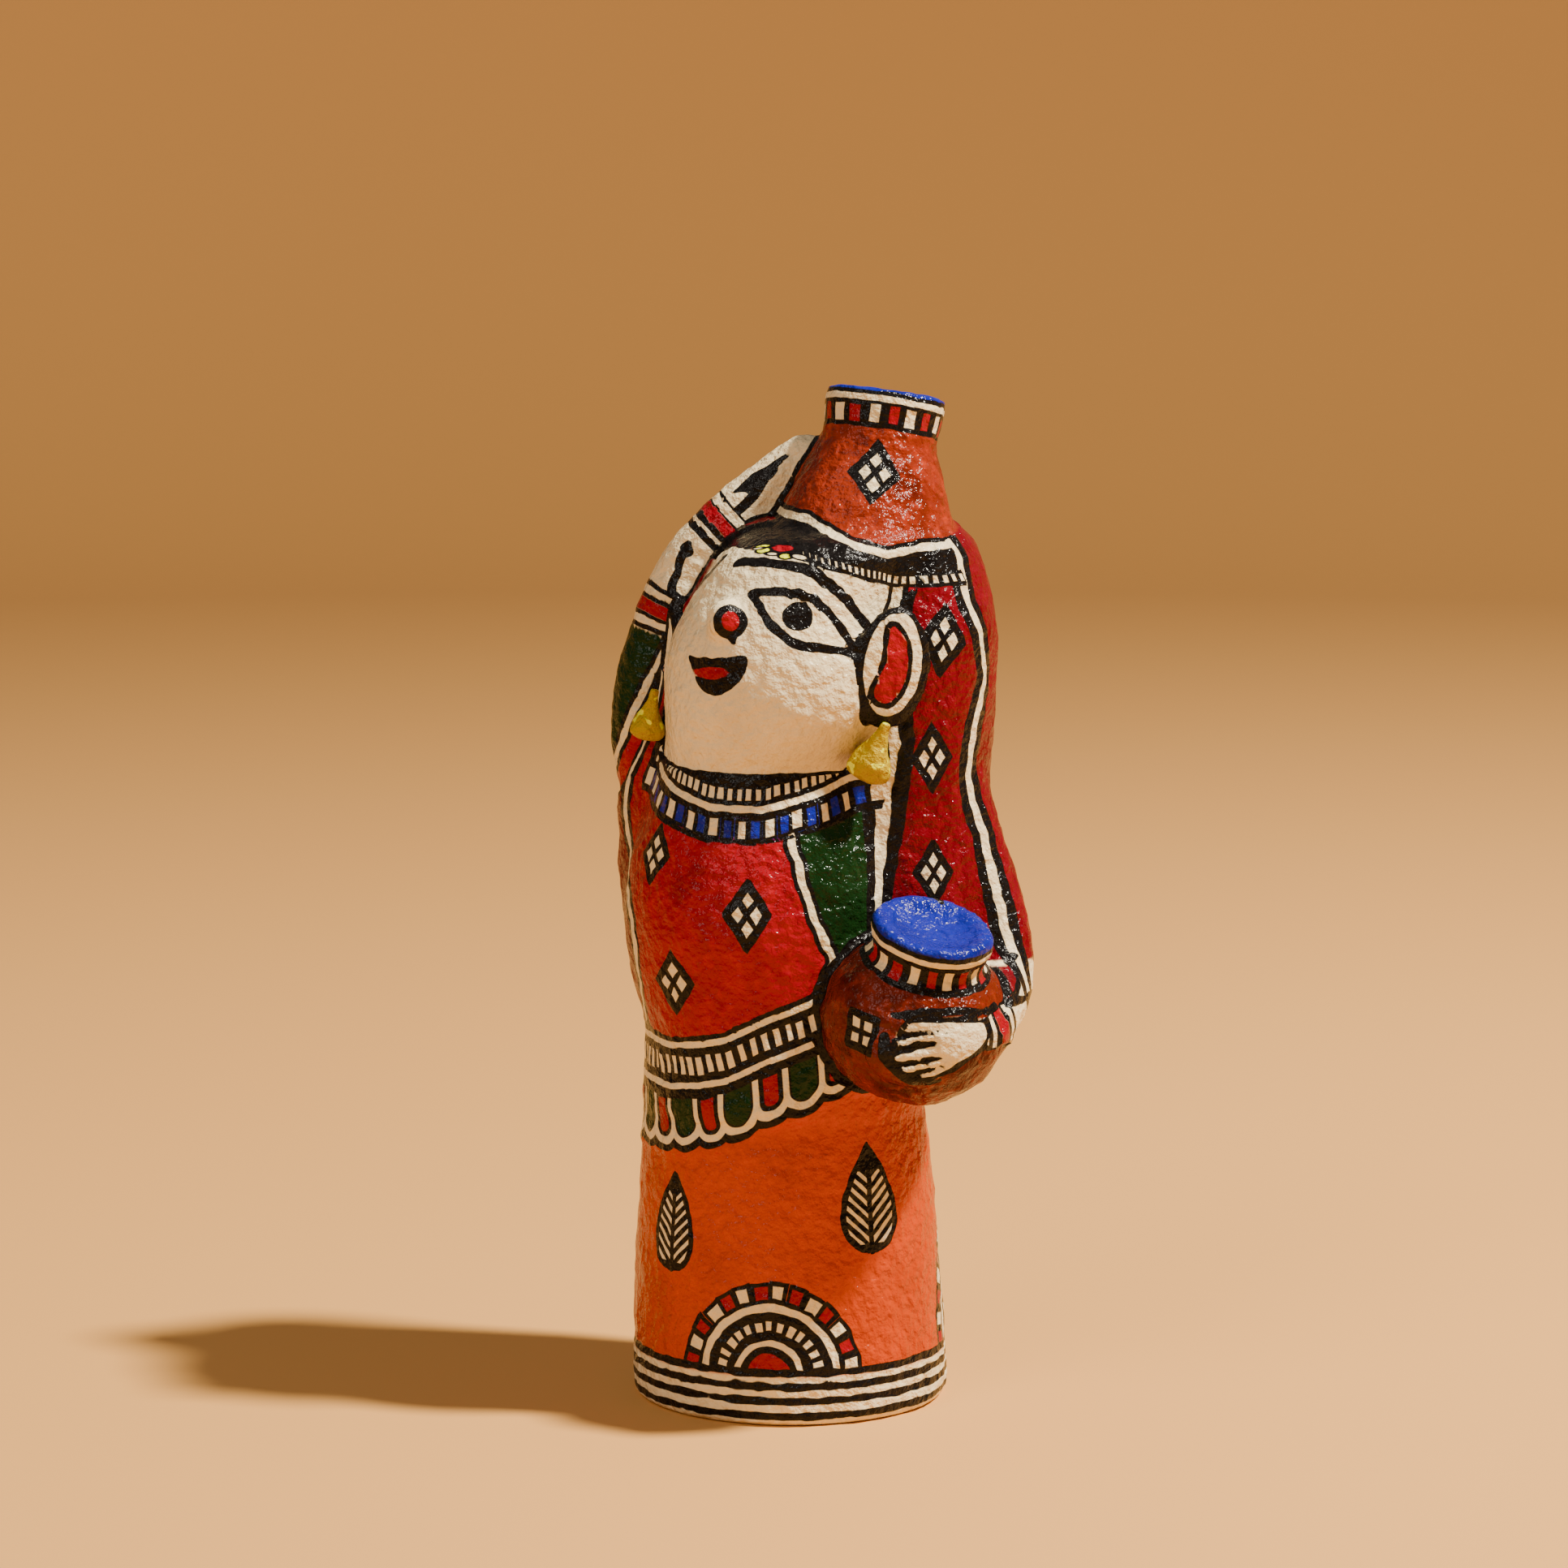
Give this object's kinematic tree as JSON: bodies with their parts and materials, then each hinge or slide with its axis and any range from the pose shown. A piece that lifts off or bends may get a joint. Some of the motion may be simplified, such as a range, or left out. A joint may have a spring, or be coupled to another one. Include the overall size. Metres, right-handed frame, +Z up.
{
  "type": "papier-mache figure",
  "caption": "Standing folk-style woman in painted papier-mache, one arm raised to a water pot on the head, the other round a pot at the side, with hanging pulp earrings.",
  "frame": {"origin": "centre of the flat underside of the base", "axes": "+Z up along the figure, -Y the way the figure faces, +X towards the figure's own left arm, which holds the pot"},
  "size_m": [0.1137, 0.0865, 0.2515],
  "materials": {
    "painted_paper": "hand-painted papier-mache under satin varnish",
    "yellow_paint": "yellow paint under satin varnish"
  },
  "bodies": {
    "root": {"figure": "painted_paper", "earring_left": "yellow_paint", "earring_right": "yellow_paint"}
  },
  "joints": []
}
